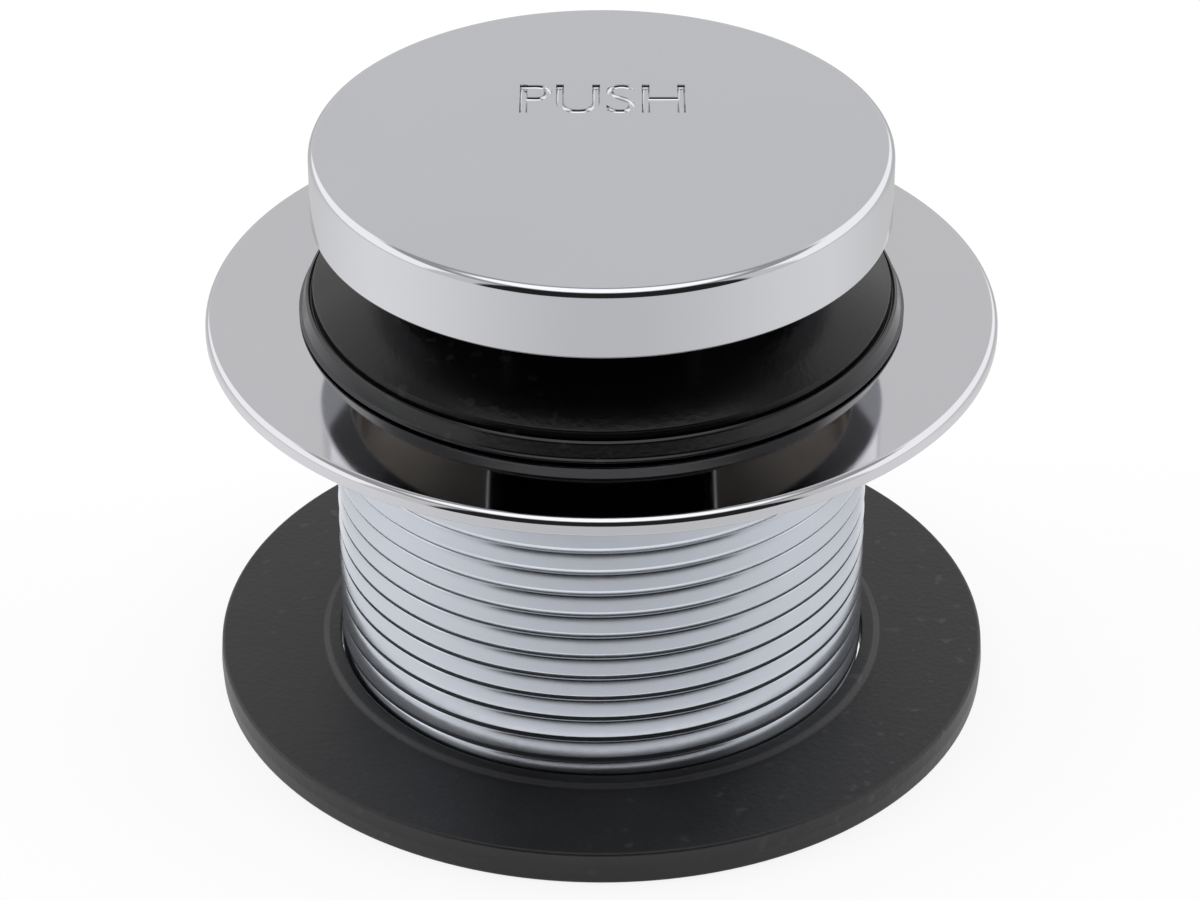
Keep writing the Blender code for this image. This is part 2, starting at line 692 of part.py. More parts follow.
def main():
    clear_scene()
    parts = make_collection("tip_toe_bath_drain")
    cutters = make_collection("cutters")

    body_chrome = make_material("body_chrome", (0.62, 0.63, 0.65), 0.12, 1.0)
    cap_chrome = make_material("cap_chrome", (0.66, 0.66, 0.68), 0.08, 1.0)
    gasket_rubber = make_material("gasket_rubber", (0.045, 0.045, 0.048), 0.75, 0.0)
    seal_rubber = make_material("seal_rubber", (0.02, 0.021, 0.024), 0.5, 0.0)
    housing_brass = make_material("housing_brass", (0.62, 0.45, 0.22), 0.3, 1.0)
    plunger_brass = make_material("plunger_brass", (0.66, 0.5, 0.27), 0.25, 1.0)
    lock_brass = make_material("lock_brass", (0.6, 0.44, 0.21), 0.35, 1.0)
    clamp_brass = make_material("clamp_brass", (0.61, 0.45, 0.23), 0.35, 1.0)
    washer_steel = make_material("washer_steel", (0.56, 0.56, 0.57), 0.35, 1.0)
    lock_steel = make_material("lock_steel", (0.5, 0.5, 0.52), 0.4, 1.0)
    clip_steel = make_material("clip_steel", (0.35, 0.35, 0.37), 0.4, 1.0)
    spring_steel = make_material("spring_steel", (0.55, 0.55, 0.56), 0.3, 1.0)
    seat_steel = make_material("seat_steel", (0.52, 0.52, 0.53), 0.35, 1.0)
    sleeve_acetal = make_material("sleeve_acetal", (0.85, 0.84, 0.8), 0.5, 0.0)
    rotor_acetal = make_material("rotor_acetal", (0.75, 0.74, 0.7), 0.5, 0.0)
    bushing_acetal = make_material("bushing_acetal", (0.08, 0.08, 0.085), 0.5, 0.0)
    thrust_nylon = make_material("thrust_nylon", (0.82, 0.8, 0.74), 0.55, 0.0)
    ring_rubber = make_material("ring_rubber", (0.03, 0.03, 0.03), 0.6, 0.0)
    wiper_rubber = make_material("wiper_rubber", (0.035, 0.035, 0.035), 0.6, 0.0)
    bumper_rubber = make_material("bumper_rubber", (0.04, 0.04, 0.04), 0.6, 0.0)

    # Fixed pieces
    make_drain_body(parts, cutters, body_chrome)
    make_tub_gasket(parts, gasket_rubber)
    make_ring("lock_washer", stud_radius + fit, hub_radius, lock_washer_thickness, lock_washer_base, lock_steel,
              parts)
    make_nut("lock_nut", lock_nut_flats, stud_radius + fit, lock_nut_height, lock_nut_base, lock_brass, parts,
             cutters)
    make_housing(parts, cutters, housing_brass)
    make_ring("floor_bumper", plunger_bore, plunger_bore + bumper_width, bumper_thickness, bumper_base,
              bumper_rubber, parts)
    make_cam_sleeve(parts, cutters, sleeve_acetal)
    make_guide_bushing(parts, bushing_acetal)
    ring_radius = ring_groove_radius + fit + ring_section
    make_o_ring("bushing_o_ring", ring_radius, ring_section, bushing_base + bushing_land + fit, ring_rubber, parts)
    ring_groove_top = bushing_land + 2 * ring_section + 2 * fit
    wiper_base = bushing_base + ring_groove_top + 2 * fit
    make_o_ring("wiper_ring", bore_radius + wiper_section, wiper_section, wiper_base, wiper_rubber, parts)
    make_return_spring(parts, spring_steel)

    # Pieces that slide along Z, held by an empty on the drain's axis
    slide = bpy.data.objects.new("stopper_slide", None)
    parts.objects.link(slide)
    moving = [
        make_plunger(parts, cutters, plunger_brass),
        make_ring("thrust_washer", bore_radius, bore_radius + thrust_washer_width, thrust_washer_thickness,
                  thrust_washer_base, thrust_nylon, parts),
        make_ring("spring_seat", spring_seat_hole, plunger_bore - fit, spring_seat_thickness,
                  spring_seat_base, seat_steel, parts),
        make_retaining_clip(parts, cutters, clip_steel),
        make_nut("clamp_nut", clamp_nut_flats, bore_radius, clamp_nut_height, clamp_nut_base, clamp_brass, parts,
                 cutters),
        make_ring("seal_washer", bore_radius, seal_washer_radius, seal_washer_thickness,
                  seal_washer_base, washer_steel, parts, edge=fit),
        make_stopper_seal(parts, seal_rubber),
        make_stopper_cap(parts, cutters, cap_chrome),
    ]
    for item in moving:
        item.parent = slide

    # The rotor turns about Z while it slides
    turn = bpy.data.objects.new("rotor_turn_axis", None)
    parts.objects.link(turn)
    turn.parent = slide
    make_latch_rotor(parts, cutters, rotor_acetal).parent = turn


main()
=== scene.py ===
import math

import bmesh
import bpy
from mathutils import Matrix, Vector


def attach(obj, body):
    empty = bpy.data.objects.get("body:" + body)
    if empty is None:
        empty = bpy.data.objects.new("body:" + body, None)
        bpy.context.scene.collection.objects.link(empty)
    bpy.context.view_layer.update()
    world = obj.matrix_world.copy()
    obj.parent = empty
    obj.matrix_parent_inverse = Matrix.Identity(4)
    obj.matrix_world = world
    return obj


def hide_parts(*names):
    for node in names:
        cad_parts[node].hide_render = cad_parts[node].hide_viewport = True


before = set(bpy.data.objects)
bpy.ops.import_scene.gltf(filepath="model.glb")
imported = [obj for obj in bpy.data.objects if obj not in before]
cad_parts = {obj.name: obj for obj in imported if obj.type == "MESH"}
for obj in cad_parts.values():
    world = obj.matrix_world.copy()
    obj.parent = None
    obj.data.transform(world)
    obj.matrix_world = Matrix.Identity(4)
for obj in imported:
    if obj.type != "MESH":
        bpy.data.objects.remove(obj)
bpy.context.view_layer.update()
mm = 0.001
fullTurn = 2 * math.pi
creaseAngle = math.radians(35)
# How near two points or a plane have to be to count as touching, in millimetres
closeness = {"spinSeam": 0.0005, "threadStart": 0.0001, "threadSeam": 0.002, "threadEnd": 0.001,
             "letters": 0.001}
straights = {"inset": 0.06, "shortest": 0.5}


def newObject(name, data):
    thing = bpy.data.objects.new(name, data)
    bpy.context.scene.collection.objects.link(thing)
    return thing


def meshFrom(bm, name):
    mesh = bpy.data.meshes.new(name)
    bm.to_mesh(mesh)
    bm.free()
    return mesh


# A profile is a list of (radius, height, rounding) in millimetres
def wireProfile(bm, points, closed, steps):
    corners = [bm.verts.new((point[0] * mm, 0, point[1] * mm)) for point in points]
    for first, second in zip(corners, corners[1:]):
        bm.edges.new((first, second))
    if closed:
        bm.edges.new((corners[-1], corners[0]))
    rounded = [(corner, point[2]) for corner, point in zip(corners, points) if len(point) > 2]
    for rounding in sorted({size for corner, size in rounded}):
        chosen = [corner for corner, size in rounded if size == rounding]
        bmesh.ops.bevel(bm, geom=chosen, offset=rounding * mm, offset_type='OFFSET',
                        segments=steps, profile=0.5, affect='VERTICES', material=-1,
                        clamp_overlap=True)


# Points close to each end of the long straights keep a flat face's reflection flat
def holdStraights(bm):
    for edge in list(bm.edges):
        length = edge.calc_length()
        if length < straights["shortest"] * mm:
            continue
        first, second = edge.verts
        share = straights["inset"] * mm / length
        middle = bmesh.utils.edge_split(edge, first, share)[1]
        rest = next(part for part in middle.link_edges if second in part.verts)
        bmesh.utils.edge_split(rest, second, share / (1 - share))


def finishedPiece(bm, name, material, body, replaced=()):
    mesh = meshFrom(bm, name)
    for polygon in mesh.polygons:
        polygon.use_smooth = True
    mesh.set_sharp_from_angle(angle=creaseAngle)
    piece = newObject(name, mesh)
    mesh.materials.append(material)
    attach(piece, body)
    if replaced:
        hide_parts(*replaced)
    return piece


def turnedPiece(name, points, material, body, segments, closed=True, steps=4,
                replaced=()):
    bm = bmesh.new()
    wireProfile(bm, points, closed, steps)
    holdStraights(bm)
    bmesh.ops.spin(bm, geom=bm.verts[:] + bm.edges[:], cent=(0, 0, 0), axis=(0, 0, 1),
                   dvec=(0, 0, 0), angle=fullTurn, steps=segments, use_merge=True,
                   use_duplicate=False)
    bmesh.ops.remove_doubles(bm, verts=bm.verts, dist=closeness["spinSeam"] * mm)
    bmesh.ops.recalc_face_normals(bm, faces=bm.faces)
    return finishedPiece(bm, name, material, body, replaced=replaced)


# A Boolean cut, made at once, with the creases marked again
def cutPiece(piece, bm, cutterName):
    cutter = newObject(cutterName, meshFrom(bm, cutterName))
    modifier = piece.modifiers.new("cut", 'BOOLEAN')
    modifier.operation = 'DIFFERENCE'
    modifier.object = cutter
    graph = bpy.context.evaluated_depsgraph_get()
    mesh = bpy.data.meshes.new_from_object(piece.evaluated_get(graph))
    piece.modifiers.remove(modifier)
    piece.data = mesh
    mesh.set_sharp_from_angle(angle=creaseAngle)
    bpy.data.objects.remove(cutter)


# Straight bars, set out by turning one round the middle, all in one piece
def spokes(name, form, material, body):
    bm = bmesh.new()
    length = form["end"] - form["start"]
    middle = ((form["start"] + length / 2) * mm, form["aside"] * mm, form["middle"] * mm)
    for index in range(form["count"]):
        angle = math.radians(form["firstAngle"] + 360 * index / form["count"])
        made = bmesh.ops.create_cube(bm, size=1.0)["verts"]
        bmesh.ops.scale(bm, verts=made,
                        vec=(length * mm, form["width"] * mm, form["height"] * mm))
        bmesh.ops.translate(bm, verts=made, vec=middle)
        bmesh.ops.rotate(bm, verts=made, cent=(0, 0, 0), matrix=Matrix.Rotation(angle, 4, 'Z'))
    bmesh.ops.bevel(bm, geom=bm.edges[:], offset=form["rounding"] * mm, offset_type='OFFSET',
                    segments=4, profile=0.5, affect='EDGES', material=-1, clamp_overlap=True)
    return finishedPiece(bm, name, material, body)


def addNode(tree, kind, settings=(), values=()):
    node = tree.nodes.new(kind)
    for key, value in dict(settings).items():
        setattr(node, key, value)
    for key, value in dict(values).items():
        node.inputs[key].default_value = value
    return node


# A Math node whose inputs are sockets or plain numbers
def calculate(tree, operation, *inputs):
    node = addNode(tree, 'ShaderNodeMath', {"operation": operation})
    for index, value in enumerate(inputs):
        if hasattr(value, "is_linked"):
            tree.links.new(value, node.inputs[index])
        else:
            node.inputs[index].default_value = value
    return node.outputs[0]


# Runs from first at low to last at high
def ramp(tree, value, low, high, first=0.0, last=1.0, kind='LINEAR'):
    node = addNode(tree, 'ShaderNodeMapRange', {"interpolation_type": kind},
                   {"From Min": low, "From Max": high, "To Min": first, "To Max": last})
    tree.links.new(value, node.inputs["Value"])
    return node.outputs[0]


# 0 outside low..high and 1 inside, with soft ends
def band(tree, value, low, high, soft):
    up = ramp(tree, value, low - soft, low, kind='SMOOTHSTEP')
    down = ramp(tree, value, high, high + soft, 1.0, 0.0, kind='SMOOTHSTEP')
    return calculate(tree, 'MULTIPLY', up, down)


def noise(tree, place, values):
    node = addNode(tree, 'ShaderNodeTexNoise', values=values)
    tree.links.new(place, node.inputs["Vector"])
    return node


def blend(tree, share, first, second):
    node = addNode(tree, 'ShaderNodeMix', {"data_type": 'RGBA'})
    for key, value in (("Factor", share), (6, first), (7, second)):  # 6 and 7 are the colours
        tree.links.new(value, node.inputs[key])
    return node.outputs[2]


def dimmed(tree, colour, share):
    node = addNode(tree, 'ShaderNodeVectorMath', {"operation": 'SCALE'})
    tree.links.new(colour, node.inputs[0])
    tree.links.new(share, node.inputs["Scale"])
    return node.outputs[0]


def mixed(tree, share, first, second):
    node = tree.nodes.new('ShaderNodeMixShader')
    tree.links.new(share, node.inputs["Fac"])
    tree.links.new(first, node.inputs[1])
    tree.links.new(second, node.inputs[2])
    return node.outputs[0]


def placeOn(tree, kind="Object"):
    return tree.nodes.new('ShaderNodeTexCoord').outputs[kind]


def splitPlace(tree, place):
    node = tree.nodes.new('ShaderNodeSeparateXYZ')
    tree.links.new(place, node.inputs[0])
    return node.outputs


# Each finish is a node group that puts out a colour, a roughness and a height
def newGroup(name, inputs):
    group = bpy.data.node_groups.new(name, 'ShaderNodeTree')
    for socketName, value in inputs.items():
        kind = 'NodeSocketColor' if isinstance(value, tuple) else 'NodeSocketFloat'
        socket = group.interface.new_socket(name=socketName, in_out='INPUT', socket_type=kind)
        socket.default_value = value
    for socketName, kind in (("Colour", 'NodeSocketColor'), ("Roughness", 'NodeSocketFloat'),
                             ("Height", 'NodeSocketFloat')):
        group.interface.new_socket(name=socketName, in_out='OUTPUT', socket_type=kind)
    return group, group.nodes.new('NodeGroupInput').outputs


def closeGroup(group, colour, roughness, height):
    end = group.nodes.new('NodeGroupOutput')
    group.links.new(colour, end.inputs["Colour"])
    group.links.new(roughness, end.inputs["Roughness"])
    group.links.new(height, end.inputs["Height"])
    return group


# Slow waves and hairline marks of a polished, plated surface
plateMarks = {"wave": {"Detail": 2.0, "Roughness": 0.5},
              "fine": {"Scale": 900.0, "Detail": 3.0, "Roughness": 0.6}}


def polishGroup():
    tree, start = newGroup("polishedPlate", {
        "Wave Size": 60.0, "Base Roughness": 0.06, "Roughness Spread": 0.04,
        "Tint": (0.6, 0.6, 0.61, 1), "Tint Spread": 0.02})
    place = placeOn(tree)
    wave = noise(tree, place, plateMarks["wave"])
    fine = noise(tree, place, plateMarks["fine"])
    tree.links.new(start["Wave Size"], wave.inputs["Scale"])
    rough = calculate(tree, 'MULTIPLY_ADD', fine.outputs["Fac"], start["Roughness Spread"],
                      start["Base Roughness"])
    centred = calculate(tree, 'SUBTRACT', wave.outputs["Fac"], 0.5)
    shade = calculate(tree, 'MULTIPLY_ADD', centred, start["Tint Spread"], 1.0)
    return closeGroup(tree, dimmed(tree, start["Tint"], shade), rough, wave.outputs["Fac"])


# Moulded rubber: cloudy tone, fine grain, and pale dust that gathers in specks
rubberMarks = {"cloud": {"Detail": 5.0, "Roughness": 0.6},
               "grain": {"Scale": 1800.0, "Detail": 2.0, "Roughness": 0.6},
               "speck": {"Scale": 620.0, "Detail": 1.0, "Roughness": 0.5},
               "patch": {"Scale": 45.0, "Detail": 2.0, "Roughness": 0.5},
               "tone": (0.35, 0.68), "dots": (0.66, 0.72), "zone": (0.4, 0.65),
               "cloudRoughness": 0.15, "grainHeight": 0.6}


def rubberGroup():
    tree, start = newGroup("mouldedRubber", {
        "Dark": (0.02, 0.02, 0.022, 1), "Pale": (0.05, 0.052, 0.056, 1),
        "Dust": (0.2, 0.2, 0.2, 1), "Cloud Size": 70.0, "Dust Amount": 0.3,
        "Base Roughness": 0.55})
    place = placeOn(tree)
    cloud = noise(tree, place, rubberMarks["cloud"])
    tree.links.new(start["Cloud Size"], cloud.inputs["Scale"])
    cloud = cloud.outputs["Fac"]
    grain, speck, patch = [noise(tree, place, rubberMarks[mark]).outputs["Fac"]
                           for mark in ("grain", "speck", "patch")]
    tone = ramp(tree, cloud, *rubberMarks["tone"])
    base = blend(tree, tone, start["Dark"], start["Pale"])
    dust = calculate(tree, 'MULTIPLY', ramp(tree, speck, *rubberMarks["dots"]),
                     ramp(tree, patch, *rubberMarks["zone"]))
    dust = calculate(tree, 'MULTIPLY', dust, start["Dust Amount"])
    rough = calculate(tree, 'MULTIPLY_ADD', cloud, rubberMarks["cloudRoughness"],
                      start["Base Roughness"])
    height = calculate(tree, 'MULTIPLY_ADD', grain, rubberMarks["grainHeight"], cloud)
    return closeGroup(tree, blend(tree, dust, base, start["Dust"]), rough, height)


# Fine rings left by a lathe tool, with slow patches of tarnish
latheMarks = {"rings": {"Distortion": 0.6, "Detail": 2.0},
              "patch": {"Scale": 160.0, "Detail": 4.0, "Roughness": 0.6},
              "tone": (0.42, 0.72), "patchRoughness": 0.2}


def turningGroup():
    tree, start = newGroup("turnedMetal", {
        "Bright": (0.7, 0.53, 0.28, 1), "Tarnish": (0.45, 0.3, 0.13, 1),
        "Ring Size": 900.0, "Base Roughness": 0.25})
    place = placeOn(tree)
    rings = addNode(tree, 'ShaderNodeTexWave', {"wave_type": 'BANDS', "bands_direction": 'Z'},
                    latheMarks["rings"])
    tree.links.new(place, rings.inputs["Vector"])
    tree.links.new(start["Ring Size"], rings.inputs["Scale"])
    patch = noise(tree, place, latheMarks["patch"]).outputs["Fac"]
    tone = ramp(tree, patch, *latheMarks["tone"])
    rough = calculate(tree, 'MULTIPLY_ADD', patch, latheMarks["patchRoughness"],
                      start["Base Roughness"])
    colour = blend(tree, tone, start["Bright"], start["Tarnish"])
    return closeGroup(tree, colour, rough, rings.outputs["Fac"])


# Moulded plastic: near-even colour with a faint flow pattern
flowMarks = {"flow": {"Scale": 220.0, "Detail": 3.0, "Distortion": 0.8},
             "skin": {"Scale": 3000.0, "Detail": 1.0}, "flowRoughness": 0.15}


def plasticGroup():
    tree, start = newGroup("mouldedPlastic", {
        "Tint": (0.8, 0.79, 0.75, 1), "Shade": (0.7, 0.69, 0.64, 1), "Base Roughness": 0.4})
    place = placeOn(tree)
    flow = noise(tree, place, flowMarks["flow"]).outputs["Fac"]
    skin = noise(tree, place, flowMarks["skin"]).outputs["Fac"]
    rough = calculate(tree, 'MULTIPLY_ADD', flow, flowMarks["flowRoughness"],
                      start["Base Roughness"])
    return closeGroup(tree, blend(tree, flow, start["Tint"], start["Shade"]), rough, skin)


groups = {"plate": polishGroup(), "rubber": rubberGroup(), "turned": turningGroup(),
          "plastic": plasticGroup()}


def surface(name, groupName, metallic, bumpDepth, groupValues, shaderValues=()):
    material = bpy.data.materials.new(name)
    material.use_nodes = True
    tree = material.node_tree
    shader = tree.nodes["Principled BSDF"]
    shader.inputs["Metallic"].default_value = metallic
    for key, value in dict(shaderValues).items():
        shader.inputs[key].default_value = value
    effect = tree.nodes.new('ShaderNodeGroup')
    effect.node_tree = groups[groupName]
    for key, value in groupValues.items():
        effect.inputs[key].default_value = value
    tree.links.new(effect.outputs["Colour"], shader.inputs["Base Color"])
    tree.links.new(effect.outputs["Roughness"], shader.inputs["Roughness"])
    bump = addNode(tree, 'ShaderNodeBump', values={"Strength": 1.0, "Distance": bumpDepth})
    tree.links.new(effect.outputs["Height"], bump.inputs["Height"])
    tree.links.new(bump.outputs["Normal"], shader.inputs["Normal"])
    return material


chromeLook = {"Wave Size": 60.0, "Base Roughness": 0.05, "Roughness Spread": 0.04,
              "Tint": (0.6, 0.6, 0.625, 1), "Tint Spread": 0.04}
bodyChrome = surface("plateOnCasting", "plate", 1.0, 0.00001, chromeLook)
threadChrome = surface("plateOnThread", "plate", 1.0, 0.00003, {
    **chromeLook, "Base Roughness": 0.17, "Roughness Spread": 0.1, "Wave Size": 200.0,
    "Tint": (0.54, 0.566, 0.622, 1)})
capChrome = surface("plateOnCap", "plate", 1.0, 0.00001,
                    {**chromeLook, "Tint": (0.6, 0.603, 0.63, 1)})
capInside = surface("capInside", "plate", 1.0, 0.00002, {
    "Wave Size": 160.0, "Base Roughness": 0.4, "Roughness Spread": 0.12,
    "Tint": (0.6, 0.55, 0.49, 1), "Tint Spread": 0.5})

# The inside of the cap gets painted shade, darker between the two webs
paintedShadeStrip = {"from": 0.0088, "to": 0.0096, "share": 0.1}
tree = capInside.node_tree
colourInput = tree.nodes["Principled BSDF"].inputs["Base Color"]
fromMiddle = calculate(tree, 'ABSOLUTE', splitPlace(tree, placeOn(tree))["X"])
shadeStripMask = ramp(tree, fromMiddle, paintedShadeStrip["from"], paintedShadeStrip["to"], paintedShadeStrip["share"], 1.0,
             kind='SMOOTHSTEP')
tree.links.new(dimmed(tree, colourInput.links[0].from_socket, shadeStripMask), colourInput)

gasketRubber = surface("washerRubber", "rubber", 0.0, 0.00006, {
    "Dark": (0.005, 0.005, 0.006, 1), "Pale": (0.012, 0.012, 0.014, 1),
    "Dust Amount": 0.15, "Base Roughness": 0.36})
sealRubber = surface("sealRubber", "rubber", 0.0, 0.00003, {
    "Dark": (0.002, 0.002, 0.0022, 1), "Pale": (0.0042, 0.0042, 0.0045, 1),
    "Dust Amount": 0.05, "Base Roughness": 0.16}, {"Specular IOR Level": 0.24})
# The lip's rubber is glossier than the seal's, and painted lighter and bluer for the light the lip
# catches
lipRubberWithPaintedLight = surface("lipRubberWithPaintedLight", "rubber", 0.0, 0.000012, {
    "Dark": (0.003, 0.0034, 0.0046, 1), "Pale": (0.006, 0.007, 0.009, 1),
    "Dust Amount": 0.08, "Base Roughness": 0.08}, {"Specular IOR Level": 0.42})
innerBrass = surface("turnedBrass", "turned", 1.0, 0.000012, {})
nutBrass = surface("nutBrass", "turned", 1.0, 0.00001,
                   {"Bright": (0.66, 0.5, 0.26, 1), "Base Roughness": 0.3})
plainSteel = surface("plainSteel", "turned", 1.0, 0.00001, {
    "Bright": (0.58, 0.58, 0.59, 1), "Tarnish": (0.42, 0.41, 0.4, 1), "Base Roughness": 0.25})
darkSteel = surface("darkSteel", "turned", 1.0, 0.00001, {
    "Bright": (0.32, 0.32, 0.34, 1), "Tarnish": (0.2, 0.19, 0.19, 1), "Base Roughness": 0.3})
paleAcetal = surface("paleAcetal", "plastic", 0.0, 0.00001, {})
blackAcetal = surface("blackAcetal", "plastic", 0.0, 0.00001, {
    "Tint": (0.035, 0.035, 0.037, 1), "Shade": (0.02, 0.02, 0.022, 1), "Base Roughness": 0.35})
ringRubber = surface("ringRubber", "rubber", 0.0, 0.00002, {"Dust Amount": 0.1})
print("materials ready")


# Drain casting: flange, bowl and barrel wall, turned in one
casting = {"segments": 192, "bowl": 23.9, "bowlLow": 33.5, "seatTop": 37.7, "rimTop": 37.5,
           "flangeRadius": 34.925, "flangeUnder": 36.05, "neckRadius": 29.0, "neck": 30.2,
           "crestRadius": 23.8, "threadTop": 29.6, "wallRadius": 23.0, "wallTop": 29.4,
           "foot": 0.1, "bore": 20.6}
turnedPiece("drainCasting", [
    (casting["bowl"], casting["seatTop"], 1.2),
    (casting["flangeRadius"], casting["rimTop"], 0.68),
    (casting["flangeRadius"], casting["flangeUnder"], 0.2),
    (casting["neckRadius"], casting["flangeUnder"], 1.0),
    (casting["crestRadius"], casting["neck"], 1.2),
    (casting["crestRadius"], casting["threadTop"]),
    (casting["wallRadius"], casting["wallTop"]),
    (casting["wallRadius"], casting["foot"]),
    (casting["bore"], casting["foot"], 0.3),
    (casting["bore"], casting["neck"], 1.2),
    (casting["bowl"], casting["bowlLow"], 1.2),
], bodyChrome, "drain", casting["segments"], steps=6, replaced=("drain_body",))

# Cross arms and tapped hub at the barrel's foot
cross = {"count": 4, "firstAngle": 45, "width": 3.4, "height": 4.2, "middle": 4.9,
         "rounding": 0.6, "start": 6.6, "end": 21.4, "aside": 0}
hub = {"radius": 7.8, "low": 2.4, "high": 8.2, "hole": 5.06, "segments": 72}
spokes("crossArms", cross, bodyChrome, "drain")
turnedPiece("tappedHub", [
    (hub["hole"], hub["high"], 0.2),
    (hub["radius"], hub["high"], 0.8),
    (hub["radius"], hub["low"], 0.8),
    (hub["hole"], hub["low"], 0.2),
], bodyChrome, "drain", hub["segments"])
print("casting ready")


def vertsIn(items):
    return [item for item in items if isinstance(item, bmesh.types.BMVert)]


def radiusOf(vert):
    return math.hypot(vert.co.x, vert.co.y) / mm


def setRadius(vert, radius):
    share = radius / radiusOf(vert)
    vert.co.x *= share
    vert.co.y *= share


# Thread: one pitch of the profile is screwed round once, and that turn is repeated
def screwThread(name, thread, material, body):
    pitch = thread["pitch"]
    low = thread["foot"] - thread["start"] * pitch
    groove = low + pitch - thread["grooveTop"]
    floorLow = low + pitch - (thread["grooveTop"] + thread["grooveFloor"]) / 2
    heelRadius = thread["crest"] - thread["heelDepth"]
    seam = (thread["heel"] + groove - low) / 2
    bm = bmesh.new()
    wireProfile(bm, [
        (heelRadius, low),
        (thread["crest"], low + thread["heel"], thread["rounding"]),
        (thread["crest"] - thread["lean"], groove, thread["shoulder"]),
        (thread["root"], floorLow, thread["rounding"] / 2),
        (thread["root"], floorLow + thread["grooveFloor"], thread["rounding"] / 2),
        (heelRadius, low + pitch, thread["rounding"]),
        (thread["crest"], low + pitch + thread["heel"], thread["rounding"]),
        (thread["crest"] - thread["lean"] / 2, low + pitch + seam),
    ], False, 2)
    bmesh.ops.bisect_plane(bm, geom=bm.verts[:] + bm.edges[:],
                           dist=closeness["threadStart"] * mm,
                           plane_co=(0, 0, (low + seam) * mm), plane_no=(0, 0, -1),
                           clear_outer=True)
    bmesh.ops.spin(bm, geom=bm.verts[:] + bm.edges[:], cent=(0, 0, 0), axis=(0, 0, 1),
                   dvec=(0, 0, pitch / thread["segments"] * mm), angle=fullTurn,
                   steps=thread["segments"], use_merge=False, use_duplicate=False)
    oneTurn = bm.verts[:] + bm.edges[:] + bm.faces[:]
    turns = math.ceil((thread["top"] - low) / pitch) + 1
    for index in range(1, turns):
        copied = bmesh.ops.duplicate(bm, geom=oneTurn)["geom"]
        bmesh.ops.translate(bm, verts=vertsIn(copied), vec=(0, 0, index * pitch * mm))
    bmesh.ops.remove_doubles(bm, verts=bm.verts, dist=closeness["threadSeam"] * mm)
    for height, normal in ((thread["foot"], (0, 0, -1)), (thread["top"], (0, 0, 1))):
        bmesh.ops.bisect_plane(bm, geom=bm.verts[:] + bm.edges[:] + bm.faces[:],
                               dist=closeness["threadEnd"] * mm,
                               plane_co=(0, 0, height * mm), plane_no=normal, clear_outer=True)
    for vert in bm.verts:
        radius = radiusOf(vert)
        height = vert.co.z / mm
        fade = max(0.0, (height - thread["top"] + thread["runOut"]) / thread["runOut"])
        target = radius + (thread["crest"] - radius) * fade
        target -= max(0.0, thread["chamfer"] - height + thread["foot"])
        setRadius(vert, target)
    rims = [edge for edge in bm.edges if edge.is_boundary]
    closing = bmesh.ops.extrude_edge_only(bm, edges=rims)["geom"]
    for vert in vertsIn(closing):
        setRadius(vert, thread["root"] - thread["wall"])
    bmesh.ops.recalc_face_normals(bm, faces=bm.faces)
    return finishedPiece(bm, name, material, body)


barrelForm = {"pitch": 2.2087, "crest": 23.8, "root": 23.2, "grooveTop": 0.24,
              "grooveFloor": 0.06, "segments": 144, "start": 0.54, "foot": 0.0, "top": 29.9,
              "runOut": 1.2, "chamfer": 0.5, "rounding": 0.05, "shoulder": 0.16, "lean": 0.33,
              "heel": 0.5, "heelDepth": 0.08, "wall": 0.4}
screwThread("barrelThread", barrelForm, threadChrome, "drain")
print("thread ready")


# Washer that is packed round the barrel's foot
washer = {"hole": 23.92, "lip": 25.1, "lipTop": 3.6, "lipSlope": 0.4, "radius": 34.95,
          "bulge": 0.1, "thickness": 3.2, "segments": 192}
turnedPiece("tubWasher", [
    (washer["hole"], washer["lipTop"], 0.15),
    (washer["lip"], washer["lipTop"], 0.15),
    (washer["lip"] + washer["lipSlope"], washer["thickness"], 0.15),
    (washer["radius"] - washer["bulge"], washer["thickness"], 0.3),
    (washer["radius"], washer["thickness"] / 2),
    (washer["radius"] - washer["bulge"], 0.0, 0.3),
    (washer["hole"], 0.0, 0.15),
], gasketRubber, "drain", washer["segments"], replaced=("tub_gasket",))


# Rubber umbrella: a disc under the cap's boss, a thin sloping skirt, and a lip with a groove
# behind it, a facet along its crest and a bead at its foot
seal = {"low": 37.85, "high": 47.0, "bore": 5.06, "hubRadius": 13.5, "discUnder": 44.4,
        "discEdge": 15.1, "ridge": 25.4, "ridgeHigh": 40.2, "lipTopRadius": 26.03,
        "lipTop": 39.4, "lipRadius": 26.65, "lipInner": 24.6, "lipMargin": 0.2,
        "shoulder": 24.2, "shoulderHigh": 39.4, "grooveHigh": 39.25, "grooveFrom": 0.08,
        "grooveTo": 0.3, "facetIn": 0.26, "facetUp": 0.18, "beadHigh": 38.02, "beadIn": 0.24,
        "beadUp": 0.16, "segments": 192}
bellSeal = turnedPiece("bellSeal", [
    (seal["bore"], seal["high"]),
    (seal["hubRadius"], seal["high"], 1.2),
    (seal["ridge"], seal["ridgeHigh"], 0.12),
    (seal["ridge"] + seal["grooveFrom"], seal["grooveHigh"], 0.1),
    (seal["ridge"] + seal["grooveTo"], seal["grooveHigh"], 0.1),
    (seal["lipTopRadius"] - seal["facetIn"], seal["lipTop"] + seal["facetUp"], 0.06),
    (seal["lipTopRadius"], seal["lipTop"], 0.06),
    (seal["lipRadius"] - seal["beadIn"], seal["beadHigh"] + seal["beadUp"], 0.06),
    (seal["lipRadius"], seal["beadHigh"], 0.06),
    (seal["lipRadius"], seal["low"], 0.12),
    (seal["lipInner"], seal["low"], 0.3),
    (seal["shoulder"], seal["shoulderHigh"], 0.3),
    (seal["discEdge"], seal["discUnder"], 1.2),
    (seal["bore"], seal["discUnder"]),
], sealRubber, "stopper", seal["segments"], replaced=("stopper_seal",))
# The lip's outer faces take the copy of the rubber with painted light
bellSeal.data.materials.append(lipRubberWithPaintedLight)
